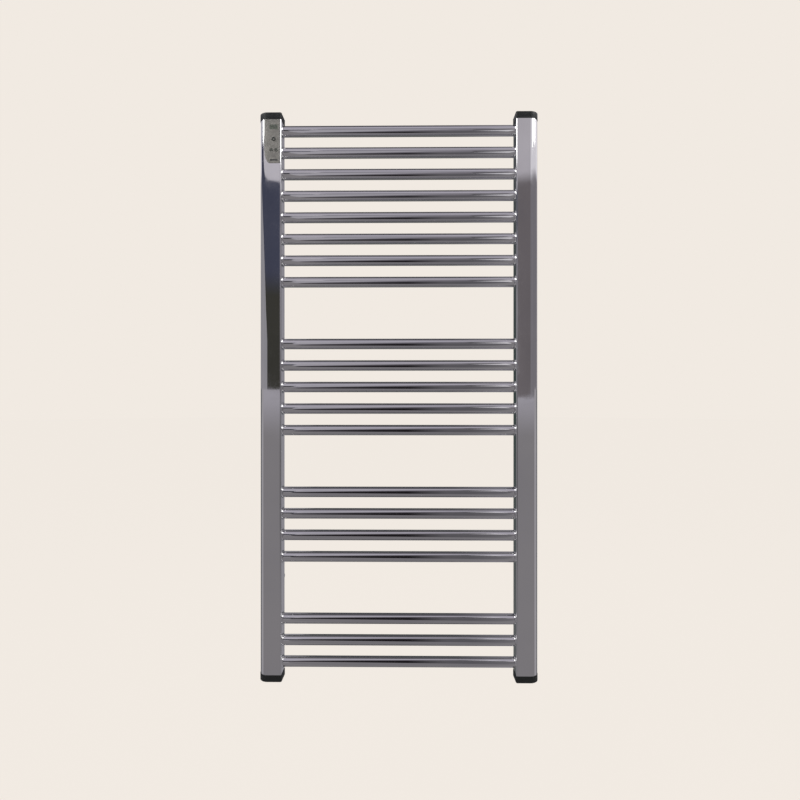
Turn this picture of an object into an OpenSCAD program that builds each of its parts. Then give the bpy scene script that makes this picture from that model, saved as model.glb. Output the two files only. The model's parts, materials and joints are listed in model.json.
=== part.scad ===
// Towel warmer rack: two D-section uprights, twenty rungs, electric heating, telescopic wall brackets.
// Millimetres. X runs to the right, Y runs back to the wall, Z runs up.
// The origin is on the wall, at the centre of the four wall screws.

/* [Rack] */
// Width over the two uprights
rack_w = 500; // [400:10:700]
// Distance between rung centres within a group
rung_pitch = 39; // [38:0.5:44]
// Distance between the rung centres on the two sides of a towel gap
towel_gap = 112; // [90:1:140]
// Top of the end caps to the centre of the first rung
top_margin = 28.5; // [28:0.5:34]
// Centre of the last rung to the bottom of the end caps
bottom_margin = 31.5; // [29:0.5:60]

/* [Uprights] */
// Width of an upright, seen from the front
upright_w = 40; // [38:1:44]
// Depth of an upright, which sets the radius of its round outer side
upright_d = 30; // [30:0.5:32]
// Wall thickness of an upright
upright_wall = 1.5; // [1.2:0.1:1.6]
// Radius of the two corners on an upright's flat inner side
corner_r = 2.2; // [2:0.1:2.4]

/* [End caps] */
// Height of an end cap's visible part
cap_h = 12.5; // [10:0.5:14]
// How far a cap stands out over the upright
cap_lip = 0.6; // [0:0.1:0.7]
// Radius of a cap's outer edge
cap_edge_r = 2.4; // [2.4:0.2:3.6]
// Wall thickness of a cap
cap_wall = 2; // [1.5:0.1:2.5]
// Depth of the skirt that is pushed into the upright
skirt_h = 6.5; // [4:0.5:7]

/* [Rungs] */
// Outer diameter of a rung
rung_dia = 19; // [16:0.5:20]
// Wall thickness of a rung
rung_wall = 1; // [0.8:0.1:1.2]
// Front of the uprights to the axis of the rungs
rung_setback = 14.5; // [14:0.25:15]
// Size of the flared neck where a rung is welded to an upright
neck = 2.4; // [1:0.2:2.6]

/* [Controls] */
// Height of the fascia
fascia_h = 78; // [76:1:84]
// How far the fascia stands proud of the upright
fascia_t = 0.8; // [0.6:0.1:1.2]
// Diameter of the power button
power_dia = 7; // [6:0.5:9]
// Diameter of the minus and plus buttons
small_dia = 5.5; // [4.5:0.25:6]
// How far a button stands proud of the fascia
button_proud = 0.8; // [0.6:0.1:1.5]
// Travel of a button
button_travel = 0.8; // [0.3:0.1:0.8]

/* [Heating] */
// Diameter of the heating cable
cable_dia = 5; // [4:0.25:5.5]

/* [Wall brackets] */
// Wall to the back of the uprights, with the posts pushed right in
wall_gap = 55; // [55:1:70]
// Distance between the upper and the lower brackets
bracket_span = 690; // [640:5:720]
// Top of the end caps to the upper brackets
bracket_drop = 165; // [160:1:180]
// Diameter of a bracket post
post_dia = 14; // [13:0.5:14.5]
// Diameter of a wall socket
socket_dia = 19; // [18.5:0.25:20]
// Diameter of the hole for a wall screw
wall_screw_hole = 5.5; // [4.5:0.25:5.5]

/* [Hidden] */
$fn = 64;

// Rungs in each group, from the top down
rung_groups = [8, 5, 4, 3];
group_count = len(rung_groups);
function total(list, last) = last < 0 ? 0 : list[last] + total(list, last - 1);
rung_count = total(rung_groups, group_count - 1);
gap_count = group_count - 1;

// The last rung above each towel gap
gap_after = [for (g = [0 : gap_count - 1]) total(rung_groups, g)];
function gaps_above(i) = len([for (last = gap_after) if (i > last) last]);

// Heights
rack_h = top_margin + (rung_count - 1 - gap_count) * rung_pitch + gap_count * towel_gap + bottom_margin;
top_z = bracket_span / 2 + bracket_drop;
bottom_z = top_z - rack_h;
tube_top_z = top_z - cap_h;
tube_bottom_z = bottom_z + cap_h;
function rung_z(i) = top_z - top_margin - (i - 1) * rung_pitch - gaps_above(i) * (towel_gap - rung_pitch);

// Places across and in depth
inner_x = rack_w / 2 - upright_w;
front_y = -wall_gap - upright_d;
flat_w = upright_w - upright_d / 2;
service_x = 12.5;
bracket_x = 21;
fit = 0.05;
skin = 0.01;

// Fascia, in the left upright's own frame: x outward from its inner side, y back from its front
fascia_in = 2.4;
fascia_out = 30.8;
fascia_top_z = tube_top_z - 0.5;
fascia_bottom_z = fascia_top_z - fascia_h;
fascia_corner = [10, 27];
controls_x = 13.4;
backing_t = 2.4;
slot_w = 18;
slot_top_z = fascia_top_z - 8;
slot_bottom_z = fascia_bottom_z + 2;
play = 0.15;

// Heights of the controls
display_z = top_z - 26.7;
upper_screw_z = top_z - 37;
power_z = top_z - 48.5;
small_z = top_z - 67.5;
lower_screw_z = top_z - 77.5;
indicator_z = top_z - 85.8;
small_spacing = 8.8;

// Windows: width and height of the lens, and of the hole behind it
display_lens_size = [14.8, 8.4];
display_hole = [13, 7];
indicator_lens_size = [14, 2.8];
indicator_hole = [12.4, 1.8];
lens_ledge = 0.5;

// Buttons
button_lip = 0.9;
button_flange_y = backing_t + 0.1;
button_flange_t = 0.75;
switch_y = button_flange_y + button_flange_t + button_travel + fit;

// Boards
board_t = 1.2;
control_board_y = 7;
control_board_w = 17;
power_board_y = 26;
power_board_w = 19;
power_board_x = 3.5;
power_board_top_z = top_z - 30.5;
power_board_h = 74;
plug_x = 18.2;
plug_z = top_z - 49.5;
plug_size = [4, 3.5, 9];
board_screw_offsets = [3.2, power_board_h - 3.2];

// Small screws: shank radius and length, head radius and height
screw_r = 1.2;
screw_l = 4.2;
screw_head = [2.1, 1.3];

// Supply entry and earth
inlet_z = top_z - 122;
inlet_hole_r = 6;
inlet_bore_r = 3.6;
earth_z = top_z - 138;
earth_r = 2;

// Heating cable
cable_y = front_y + rung_setback;
bend_r = rung_pitch / 2;
turn_x = inner_x + upright_wall + 2 + bend_r;
cable_start_x = inner_x + 8;
sleeve_r = 3.6;
sleeve_l = 21;

// Bracket: threaded insert, post and wall foot
insert_r = 4.5;
insert_flange = [6, 0.8];
insert_l = 11;
stud_r = 3;
stud_l = 9;
post_flange = [8.4, 3];
post_end_y = -12;
socket_base = 6;
socket_l = 42;
countersink_r = 5.2;
grub_r = 2;
grub_y = -37;
grub_key = 2.2;

function two_digits(i) = str(i < 10 ? "0" : "", i);
function rung_name(i) = str("rung_", two_digits(i));
corners = ["top_left", "top_right", "bottom_left", "bottom_right"];
function side_of(corner) = corner == "top_left" || corner == "bottom_left" ? -1 : 1;
function is_top(corner) = corner == "top_left" || corner == "top_right";
function bracket_z(corner) = (is_top(corner) ? 1 : -1) * bracket_span / 2;

// ---- Helpers ----

// Draws children in an upright's own frame: x outward from its inner side, y back from its front
module beside(side) {
    mirror([side < 0 ? 1 : 0, 0, 0])
        translate([inner_x, front_y, 0])
            children();
}

// Round bar along x, y or z between two places
module bar_x(r, from, to) {
    translate([from, 0, 0])
        rotate([0, 90, 0])
            cylinder(r = r, h = to - from);
}

module bar_y(r, from, to) {
    translate([0, from, 0])
        rotate([-90, 0, 0])
            cylinder(r = r, h = to - from);
}

module bar_z(r, from, to) {
    translate([0, 0, from])
        cylinder(r = r, h = to - from);
}

// Turned piece on the y axis, from a profile of [radius, y] points
module turned_y(profile) {
    rotate([-90, 0, 0])
        rotate_extrude()
            polygon(profile);
}

// Block centred on x and z, between two depths
module block(size_x, size_z, from_y, to_y) {
    translate([-size_x / 2, from_y, -size_z / 2])
        cube([size_x, to_y - from_y, size_z]);
}

// Quarter arc of points, turning about a centre
function arc(centre, r, from, to, step = 15) =
    [for (a = [from : (to > from ? step : -step) : to]) centre + r * [cos(a), sin(a)]];

function unit(v) = v / norm(v);

// Moves children's z axis onto a direction
module along(from, direction) {
    sideways = cross([0, 0, 1], direction);
    s = norm(sideways) > 0.5 ? unit(sideways) : [1, 0, 0];
    t = cross(direction, s);
    multmatrix([
        [s.x, t.x, direction.x, from.x],
        [s.y, t.y, direction.y, from.y],
        [s.z, t.z, direction.z, from.z],
        [0, 0, 0, 1]
    ])
        children();
}

// Quarter turn of a wire at a corner, from direction a to direction b
module wire_bend(corner, a, b, r, turn_r) {
    centre = corner - a * turn_r + b * turn_r;
    n = cross(a, b);
    multmatrix([
        [-b.x, a.x, n.x, centre.x],
        [-b.y, a.y, n.y, centre.y],
        [-b.z, a.z, n.z, centre.z],
        [0, 0, 0, 1]
    ])
        rotate_extrude(angle = 90)
            translate([turn_r, 0])
                circle(r);
}

// Round wire through corner points that turn at right angles
module wire(points, r, turn_r) {
    last = len(points) - 1;
    for (i = [0 : last - 1]) {
        direction = unit(points[i + 1] - points[i]);
        from = points[i] + (i > 0 ? turn_r : 0) * direction;
        to = points[i + 1] - (i < last - 1 ? turn_r : 0) * direction;
        if (norm(to - from) > 0.01)
            along(from, direction)
                cylinder(r = r, h = norm(to - from));
    }
    for (i = [1 : 1 : last - 1]) {
        a = unit(points[i] - points[i - 1]);
        b = unit(points[i + 1] - points[i]);
        wire_bend(points[i], a, b, r, turn_r);
    }
}

// ---- Uprights and caps ----

// D-shaped outline of an upright, drawn in by an inset
module d_outline(inset) {
    r = corner_r - inset > 0.4 ? corner_r - inset : 0.4;
    depth = upright_d - 2 * inset;
    translate([flat_w, upright_d / 2])
        circle(upright_d / 2 - inset);
    translate([inset + r, inset])
        square([flat_w - inset - r, depth]);
    translate([inset, inset + r])
        square([flat_w - inset, depth - 2 * r]);
    for (y = [inset + r, upright_d - inset - r])
        translate([inset + r, y])
            circle(r);
}

// Tube with its rung holes and bracket holes
module upright_tube() {
    difference() {
        translate([0, 0, tube_bottom_z])
            linear_extrude(tube_top_z - tube_bottom_z)
                difference() {
                    d_outline(0);
                    d_outline(upright_wall);
                }
        for (i = [1 : rung_count])
            translate([0, rung_setback, rung_z(i)])
                bar_x(rung_dia / 2 + fit, -1, upright_wall + 1);
        for (z = [-bracket_span / 2, bracket_span / 2])
            translate([bracket_x, 0, z])
                bar_y(insert_r + fit, upright_d - upright_wall - 1, upright_d + 1);
    }
}

module right_upright() {
    color("silver")
        beside(1)
            upright_tube();
}

// The left upright also has the fascia's slot, the cable inlet and the screw holes
module left_upright() {
    color("silver")
        beside(-1)
            difference() {
                upright_tube();
                translate([controls_x - slot_w / 2, -1, slot_bottom_z])
                    cube([slot_w, upright_wall + 2, slot_top_z - slot_bottom_z]);
                translate([service_x, 0, inlet_z])
                    bar_y(inlet_hole_r, upright_d - upright_wall - 1, upright_d + 1);
                translate([service_x, 0, earth_z])
                    bar_y(earth_r + fit, upright_d - upright_wall - 1, upright_d + 1);
                for (drop = board_screw_offsets)
                    translate([service_x, 0, power_board_top_z - drop])
                        bar_y(screw_r + fit, upright_d - upright_wall - 1, upright_d + 1);
            }
}

// Outer block of a cap, with its seat at z = 0 and its edge rounded at the top
module cap_block() {
    r = cap_edge_r;
    hull() {
        linear_extrude(skin)
            d_outline(-cap_lip, $fn = 48);
        for (a = [0 : 15 : 90])
            translate([0, 0, cap_h - r + r * sin(a) - skin])
                linear_extrude(skin)
                    d_outline(-cap_lip + r * (1 - cos(a)), $fn = 48);
    }
}

// Cap with its hollow skirt
module cap_shape() {
    skirt_inset = upright_wall + play;
    difference() {
        union() {
            cap_block();
            translate([0, 0, -skirt_h])
                linear_extrude(skirt_h + 1)
                    d_outline(skirt_inset);
        }
        translate([0, 0, -skirt_h - 1])
            linear_extrude(skirt_h + 1 + cap_h - cap_wall)
                d_outline(skirt_inset + cap_wall);
    }
}

module end_cap(corner) {
    color("dimgray")
        beside(side_of(corner))
            if (is_top(corner))
                translate([0, 0, tube_top_z])
                    cap_shape();
            else
                translate([0, upright_d, tube_bottom_z])
                    rotate([180, 0, 0])
                        cap_shape();
}

// ---- Rungs ----

// Tube with a flared neck at each end, which stops flush inside the uprights' walls
module rung(i) {
    r = rung_dia / 2;
    end = inner_x + upright_wall;
    bore = r - rung_wall;
    right_half = concat(
        arc([r + neck, inner_x - neck], neck, 180, 90),
        [[r, inner_x], [r, end], [bore, end]]
    );
    left_half = [for (k = [len(right_half) - 1 : -1 : 0]) [right_half[k].x, -right_half[k].y]];
    color("silver")
        translate([0, cable_y, rung_z(i)])
            rotate([0, 90, 0])
                rotate_extrude()
                    polygon(concat(right_half, left_half));
}

// ---- Control panel ----

// Outline of the fascia from the front: a plate with one long rounded lower outer corner
module fascia_outline() {
    w = fascia_corner.x;
    h = fascia_corner.y;
    polygon(concat(
        [[fascia_in, fascia_bottom_z], [fascia_in, fascia_top_z], [fascia_out, fascia_top_z]],
        [for (a = [0 : 10 : 90])
            [fascia_out - w + w * cos(a), fascia_bottom_z + h - h * sin(a)]]
    ));
}

// Skin that follows the front of the upright
module fascia_skin() {
    intersection() {
        translate([0, 0, fascia_bottom_z])
            linear_extrude(fascia_h)
                intersection() {
                    difference() {
                        d_outline(-fascia_t);
                        d_outline(-fit);
                    }
                    translate([fascia_in, -2 * fascia_t])
                        square([fascia_out - fascia_in, upright_d / 3]);
                }
        translate([0, upright_d / 2, 0])
            rotate([90, 0, 0])
                linear_extrude(upright_d)
                    fascia_outline();
    }
}

// Places children on the centre line of the controls
module at_control(z, x = 0) {
    translate([controls_x + x, 0, z])
        children();
}

module window_cut(lens, hole) {
    block(lens.x + 2 * fit, lens.y + 2 * fit, -2, lens_ledge);
    block(hole.x, hole.y, -2, backing_t + 1);
}

module control_fascia() {
    color("gray")
        beside(-1)
            difference() {
                union() {
                    fascia_skin();
                    translate([controls_x, 0, (slot_top_z + slot_bottom_z) / 2])
                        block(
                            slot_w - 2 * play, slot_top_z - slot_bottom_z - 2 * play,
                            -fascia_t / 2, backing_t
                        );
                    for (z = [upper_screw_z, lower_screw_z])
                        at_control(z)
                            bar_y(2.2, 0, control_board_y);
                }
                at_control(display_z)
                    window_cut(display_lens_size, display_hole);
                at_control(indicator_z)
                    window_cut(indicator_lens_size, indicator_hole);
                at_control(power_z)
                    bar_y(power_dia / 2 + play, -2, backing_t + 1);
                for (s = [-1, 1])
                    at_control(small_z, s * small_spacing / 2)
                        bar_y(small_dia / 2 + play, -2, backing_t + 1);
                for (z = [upper_screw_z, lower_screw_z])
                    at_control(z)
                        bar_y(screw_r + fit, control_board_y + board_t - screw_l - 0.3, control_board_y + 1);
            }
}

module display_lens() {
    color("black")
        beside(-1)
            at_control(display_z)
                block(display_lens_size.x, display_lens_size.y, -fascia_t + fit, lens_ledge - fit);
}

module indicator_lens() {
    color("black")
        beside(-1)
            at_control(indicator_z) {
                block(indicator_lens_size.x, indicator_lens_size.y, -fascia_t + fit, lens_ledge - fit);
                block(indicator_hole.x - 2 * play, indicator_hole.y - 2 * play, 0, control_board_y - 0.6);
            }
}

// Button with a shallow dish in its face and a flange behind the fascia
module button(dia) {
    r = dia / 2;
    face_y = -fascia_t - button_proud;
    edge = 0.4;
    dish = 0.3;
    turned_y([
        [0, face_y + dish],
        [r * 0.45, face_y + dish * 0.8],
        [r * 0.75, face_y + dish * 0.2],
        [r - edge, face_y],
        [r, face_y + edge],
        [r, button_flange_y],
        [r + button_lip, button_flange_y],
        [r + button_lip, button_flange_y + button_flange_t],
        [0, button_flange_y + button_flange_t]
    ]);
}

module power_button() {
    color("dimgray")
        beside(-1)
            at_control(power_z)
                button(power_dia);
}

// Minus is on the outer side, plus on the inner side
module minus_button() {
    color("gray")
        beside(-1)
            at_control(small_z, small_spacing / 2)
                button(small_dia);
}

module plus_button() {
    color("gray")
        beside(-1)
            at_control(small_z, -small_spacing / 2)
                button(small_dia);
}

// ---- Electronics ----

module control_board() {
    bottom_y = control_board_y + board_t;
    color("darkgreen")
        beside(-1)
            difference() {
                union() {
                    translate([controls_x, 0, (slot_top_z + slot_bottom_z) / 2])
                        block(control_board_w, slot_top_z - slot_bottom_z - 2, control_board_y, bottom_y);
                    at_control(indicator_z)
                        block(10, 1.4, control_board_y - 0.5, control_board_y);
                    at_control(top_z - 60, -3)
                        block(7, 7, bottom_y, bottom_y + 1);
                    for (z = [top_z - 67, top_z - 70])
                        at_control(z, -3)
                            block(6, 1.2, bottom_y, bottom_y + 0.8);
                }
                for (z = [upper_screw_z, lower_screw_z])
                    at_control(z)
                        bar_y(screw_r + fit, control_board_y - 1, bottom_y + 1);
            }
}

module display_module() {
    color("black")
        beside(-1)
            at_control(display_z)
                block(
                    display_hole.x - 2 * play, display_hole.y - 2 * play,
                    lens_ledge + 0.2, control_board_y
                );
}

module tact_switch() {
    bar_y(1.5, switch_y, switch_y + 1);
    block(4.8, 4.8, switch_y + 0.6, control_board_y);
}

module tact_switches() {
    color("black")
        beside(-1) {
            at_control(power_z)
                tact_switch();
            for (s = [-1, 1])
                at_control(small_z, s * small_spacing / 2)
                    tact_switch();
        }
}

// Small pan-head screw whose head rests at y = 0 and whose shank runs towards -y
module small_screw() {
    difference() {
        union() {
            bar_y(screw_r, -screw_l, 0.2);
            bar_y(screw_head.x, 0, screw_head.y);
        }
        for (a = [0, 90])
            rotate([0, a, 0])
                block(0.5, 2.4, screw_head.y - 0.6, screw_head.y + 1);
    }
}

// Two screws hold the control board to the fascia, two hold the power board to the back wall
module board_screws() {
    color("silver")
        beside(-1) {
            for (z = [upper_screw_z, lower_screw_z])
                translate([controls_x, control_board_y + board_t, z])
                    small_screw();
            for (drop = board_screw_offsets)
                translate([service_x, upright_d, power_board_top_z - drop])
                    small_screw();
        }
}

// Board with two threaded spacers behind it, a fuse and a capacitor
module power_board() {
    top_z_here = power_board_top_z;
    color("darkgreen")
        beside(-1)
            difference() {
                union() {
                    translate([power_board_x, power_board_y, top_z_here - power_board_h])
                        cube([power_board_w, board_t, power_board_h]);
                    for (drop = board_screw_offsets)
                        translate([service_x, 0, top_z_here - drop])
                            bar_y(2.4, power_board_y + board_t / 2, upright_d - upright_wall);
                    translate([20, power_board_y - 2, 0])
                        bar_z(2.1, top_z - 75, top_z - 58);
                    translate([19.8, 0, top_z - 81])
                        block(4, 7, power_board_y - 6.5, power_board_y + 0.2);
                }
                for (drop = board_screw_offsets)
                    translate([service_x, 0, top_z_here - drop])
                        bar_y(screw_r + fit, power_board_y - 1, upright_d);
            }
}

module relay() {
    color("black")
        beside(-1)
            translate([9.5, 0, top_z - 46.5])
                block(10, 20, power_board_y - 8, power_board_y);
}

module supply_module() {
    color("black")
        beside(-1)
            translate([10.8, 0, top_z - 70.5])
                block(13, 24, power_board_y - 8, power_board_y);
}

// Three-pole block with its wire entries facing down
module terminal_block() {
    pole = 5;
    height = 9;
    color("seagreen")
        beside(-1)
            translate([service_x, 0, top_z - 92]) {
                difference() {
                    block(3 * pole, height, power_board_y - 8, power_board_y);
                    for (k = [-1 : 1]) {
                        translate([k * pole, power_board_y - 3, 0])
                            bar_z(1.6, -height, 0);
                        translate([k * pole, 0, 0])
                            bar_y(1.5, power_board_y - 9, power_board_y - 5);
                    }
                }
            }
}

// Three low-voltage wires with a plug on each board
module control_leads() {
    control_plug_y = control_board_y + board_t;
    color("white")
        beside(-1)
            translate([plug_x, 0, plug_z]) {
                block(plug_size.x, plug_size.z, control_plug_y, control_plug_y + plug_size.y);
                block(plug_size.x, plug_size.z, power_board_y - plug_size.y, power_board_y);
                for (k = [-1 : 1])
                    translate([0, 0, k * plug_size.z / 3.6])
                        bar_y(0.7, control_plug_y + 1, power_board_y - 1);
            }
}

// Rubber bush for the supply cable, in a groove round the hole in the back wall
module inlet_grommet() {
    inner_y = upright_d - upright_wall;
    flange = 2;
    color("black")
        beside(-1)
            translate([service_x, 0, inlet_z])
                turned_y([
                    [inlet_bore_r, inner_y - flange],
                    [inlet_hole_r + 1, inner_y - flange],
                    [inlet_hole_r + 1.6, inner_y - fit],
                    [inlet_hole_r - fit, inner_y - fit],
                    [inlet_hole_r - fit, upright_d + fit],
                    [inlet_hole_r + 2, upright_d + fit],
                    [inlet_hole_r + 1.2, upright_d + flange],
                    [inlet_bore_r, upright_d + flange]
                ]);
}

// Screw through the back wall into the earth lead's threaded tag
module earth_screw() {
    head_r = 3.6;
    head_h = 2.2;
    color("gold")
        beside(-1)
            translate([service_x, 0, earth_z])
                difference() {
                    union() {
                        bar_y(earth_r, upright_d - 8, upright_d + 0.2);
                        bar_y(head_r, upright_d, upright_d + head_h);
                    }
                    for (a = [0, 90])
                        rotate([0, a, 0])
                            block(0.8, 4, upright_d + head_h - 1, upright_d + head_h + 1);
                }
}

module earth_lead() {
    tag_y = upright_d - upright_wall;
    lead_y = tag_y - 1.2;
    color("yellowgreen")
        beside(-1) {
            translate([service_x, 0, earth_z])
                difference() {
                    union() {
                        bar_y(4, tag_y - 2, tag_y);
                        translate([5, 0, 0])
                            block(6, 3, tag_y - 2, tag_y);
                    }
                    bar_y(earth_r + fit, tag_y - 3, tag_y + 1);
                }
            wire(
                [
                    [service_x + 6, lead_y, earth_z],
                    [service_x + 9.6, lead_y, earth_z],
                    [service_x + 9.6, lead_y, top_z - 108],
                    [service_x + 9.6, power_board_y - 3, top_z - 108],
                    [service_x + 5, power_board_y - 3, top_z - 108],
                    [service_x + 5, power_board_y - 3, top_z - 94]
                ],
                0.8, 1.8
            );
        }
}

// Two insulated leads from the power board to the cold joint
module mains_leads() {
    start_x = cable_start_x - inner_x + sleeve_l;
    lead_r = 0.8;
    color("saddlebrown")
        beside(-1)
            for (k = [0, 1]) {
                lead_y = rung_setback - 1.2 + 2.4 * k;
                out_x = start_x + 4 - 2.2 * k;
                board_x = 20.5 - 2.5 * k;
                board_z = power_board_top_z - 1 - lead_r;
                wire(
                    [
                        [start_x - 2, lead_y, rung_z(1)],
                        [out_x, lead_y, rung_z(1)],
                        [out_x, power_board_y - 4.5 + 2.2 * k, rung_z(1)],
                        [out_x, power_board_y - 4.5 + 2.2 * k, board_z - 4],
                        [board_x, power_board_y - 4.5 + 2.2 * k, board_z - 4]
                    ],
                    lead_r, 1.7
                );
            }
}

// ---- Heating ----

// One cable from side to side through every rung, from the top left to the bottom left
function cable_side(i) = i % 2 == 1 ? 1 : -1;
cable_route = concat(
    [[-cable_start_x, cable_y, rung_z(1)]],
    [for (i = [1 : rung_count - 1])
        for (z = [rung_z(i), rung_z(i + 1)])
            [cable_side(i) * turn_x, cable_y, z]],
    [[-cable_start_x, cable_y, rung_z(rung_count)]]
);

module heating_cable() {
    color("firebrick")
        wire(cable_route, cable_dia / 2, bend_r);
}

// Crimped sleeve on an end of the cable, stepped down over the cable
module cable_sleeve(i, end_bore_l) {
    color("black")
        beside(-1)
            translate([cable_start_x - inner_x, rung_setback, rung_z(i)])
                rotate([0, 90, 0])
                    difference() {
                        rotate_extrude()
                            polygon([
                                [0, -3],
                                [cable_dia / 2 + 0.5, -3],
                                [sleeve_r, 0],
                                [sleeve_r, sleeve_l - 1],
                                [sleeve_r - 1, sleeve_l],
                                [0, sleeve_l]
                            ]);
                        bar_z(cable_dia / 2, -4, 0);
                        for (y = [-1.2, 1.2])
                            translate([0, y, 0])
                                bar_z(0.8, sleeve_l - end_bore_l, sleeve_l + 1);
                    }
}

module cold_joint() {
    cable_sleeve(1, 2);
}

// Blind sleeve on the far end of the cable
module end_seal() {
    color("black")
        beside(-1)
            translate([cable_start_x - inner_x, rung_setback, rung_z(rung_count)])
                rotate([0, 90, 0])
                    rotate_extrude()
                        polygon([
                            [0, 0],
                            [cable_dia / 2, 0],
                            [cable_dia / 2, -3],
                            [cable_dia / 2 + 0.5, -3],
                            [sleeve_r, 0],
                            [sleeve_r, sleeve_l - 4],
                            [sleeve_r - 2, sleeve_l],
                            [0, sleeve_l]
                        ]);
}

// Sensor bulb on the upright's inner wall, with its lead up to the control board
module temperature_sensor() {
    bulb_r = 2;
    bulb_x = upright_wall + bulb_r + fit;
    sensor_y = control_board_y + board_t + 0.6;
    color("black")
        beside(-1) {
            translate([bulb_x, sensor_y, 0])
                bar_z(bulb_r, top_z - 112, top_z - 102);
            wire(
                [
                    [bulb_x, sensor_y, top_z - 103],
                    [bulb_x, sensor_y, top_z - 94],
                    [8, sensor_y, top_z - 94],
                    [8, sensor_y, top_z - 82]
                ],
                0.5, 1.5
            );
        }
}

// Cut-out against the back wall, with two legs soldered to the power board
module thermal_cutout() {
    body_top_z = top_z - 106;
    inner_y = upright_d - upright_wall;
    color("ivory")
        beside(-1)
            translate([8, 0, 0]) {
                translate([0, 0, body_top_z - 3])
                    block(12, 6, inner_y - 4, inner_y - fit);
                for (s = [-1, 1])
                    translate([s * 2.5, power_board_y - 0.5, 0])
                        bar_z(0.5, body_top_z - 1, power_board_top_z - power_board_h + 3);
            }
}

// ---- Wall brackets ----

// Draws children on a bracket's axis, in the rack's frame
module at_bracket(corner) {
    translate([side_of(corner) * (inner_x + bracket_x), 0, bracket_z(corner)])
        children();
}

// Blind-rivet nut in an upright's back wall
module threaded_inserts() {
    back_y = -wall_gap;
    color("gold")
        for (corner = corners)
            at_bracket(corner)
                turned_y([
                    [stud_r + fit, back_y - insert_l],
                    [insert_r, back_y - insert_l],
                    [insert_r, back_y],
                    [insert_flange.x, back_y],
                    [insert_flange.x, back_y + insert_flange.y],
                    [stud_r + fit, back_y + insert_flange.y]
                ]);
}

// Post with a stud that screws into the insert, its flange cut to the upright's round side
module bracket_post(corner) {
    back_y = -wall_gap;
    recess_y = back_y + insert_flange.y + 0.2;
    r = post_dia / 2;
    chamfer = 1;
    z = bracket_z(corner);
    color("silver") {
        difference() {
            at_bracket(corner)
                turned_y([
                    [0, recess_y],
                    [insert_flange.x + 0.3, recess_y],
                    [insert_flange.x + 0.3, back_y - 2],
                    [post_flange.x, back_y - 2],
                    [post_flange.x, back_y + post_flange.y - chamfer],
                    [post_flange.x - chamfer, back_y + post_flange.y],
                    [r, back_y + post_flange.y],
                    [r, post_end_y - chamfer],
                    [r - chamfer, post_end_y],
                    [0, post_end_y]
                ]);
            beside(side_of(corner))
                translate([0, 0, z - upright_d / 2])
                    linear_extrude(upright_d)
                        d_outline(-fit / 2);
        }
        at_bracket(corner)
            bar_y(stud_r, back_y - stud_l, recess_y + 1);
    }
}

// Socket with a countersunk hole for the wall screw in its base
module wall_foot(corner) {
    bore = post_dia / 2 + fit;
    hole = wall_screw_hole / 2;
    r = socket_dia / 2;
    chamfer = 0.8;
    color("silver")
        at_bracket(corner)
            difference() {
                turned_y([
                    [hole, 0],
                    [hole, -socket_base + countersink_r - hole],
                    [countersink_r, -socket_base],
                    [bore, -socket_base],
                    [bore, -socket_l],
                    [r - chamfer, -socket_l],
                    [r, -socket_l + chamfer],
                    [r, 0]
                ]);
                translate([0, grub_y, 0])
                    bar_z(grub_r, -r - 1, -bore + 1);
            }
}

// Hex-socket screws, from below, that lock the posts
module grub_screws() {
    tip = -post_dia / 2 - play;
    outer = -socket_dia / 2 + 0.2;
    color("dimgray")
        for (corner = corners)
            at_bracket(corner)
                translate([0, grub_y, 0])
                    difference() {
                        bar_z(grub_r - fit, outer, tip);
                        translate([0, 0, outer - 1])
                            cylinder(d = grub_key, h = 2.2, $fn = 6);
                    }
}

left_upright();
right_upright();
for (i = [1 : rung_count])
    rung(i);
for (corner = corners) {
    end_cap(corner);
    wall_foot(corner);
    bracket_post(corner);
}
control_fascia();
display_lens();
indicator_lens();
power_button();
minus_button();
plus_button();
control_board();
display_module();
tact_switches();
board_screws();
power_board();
relay();
supply_module();
terminal_block();
control_leads();
inlet_grommet();
earth_screw();
earth_lead();
mains_leads();
heating_cable();
cold_joint();
end_seal();
temperature_sensor();
thermal_cutout();
threaded_inserts();
grub_screws();
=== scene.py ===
"""Looks of the towel warmer rack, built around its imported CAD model. Metres, in the CAD's own frame."""

import json
import math

import bmesh
import bpy
from mathutils import Matrix, Vector
from mathutils.bvhtree import BVHTree


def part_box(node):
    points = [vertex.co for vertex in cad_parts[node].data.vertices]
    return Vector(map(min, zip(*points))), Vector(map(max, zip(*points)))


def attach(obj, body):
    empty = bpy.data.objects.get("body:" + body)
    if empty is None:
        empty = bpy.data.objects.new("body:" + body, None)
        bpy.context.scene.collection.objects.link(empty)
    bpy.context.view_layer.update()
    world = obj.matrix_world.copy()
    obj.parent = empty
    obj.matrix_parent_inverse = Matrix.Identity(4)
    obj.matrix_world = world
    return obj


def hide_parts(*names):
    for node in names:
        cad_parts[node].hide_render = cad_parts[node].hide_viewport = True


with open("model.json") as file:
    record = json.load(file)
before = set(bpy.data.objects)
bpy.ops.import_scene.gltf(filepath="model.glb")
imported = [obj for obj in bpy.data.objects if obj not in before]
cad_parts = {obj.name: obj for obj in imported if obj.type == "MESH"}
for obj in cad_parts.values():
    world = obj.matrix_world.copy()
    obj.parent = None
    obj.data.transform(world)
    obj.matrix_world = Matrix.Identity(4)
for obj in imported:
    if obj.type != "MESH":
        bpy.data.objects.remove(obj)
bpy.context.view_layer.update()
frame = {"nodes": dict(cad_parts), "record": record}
NODES = frame["nodes"]
MM = 0.001

scene = bpy.context.scene
scene.view_settings.view_transform = "Standard"
scene.view_settings.look = "None"
scene.cycles.max_bounces = 12
scene.cycles.glossy_bounces = 8

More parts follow.
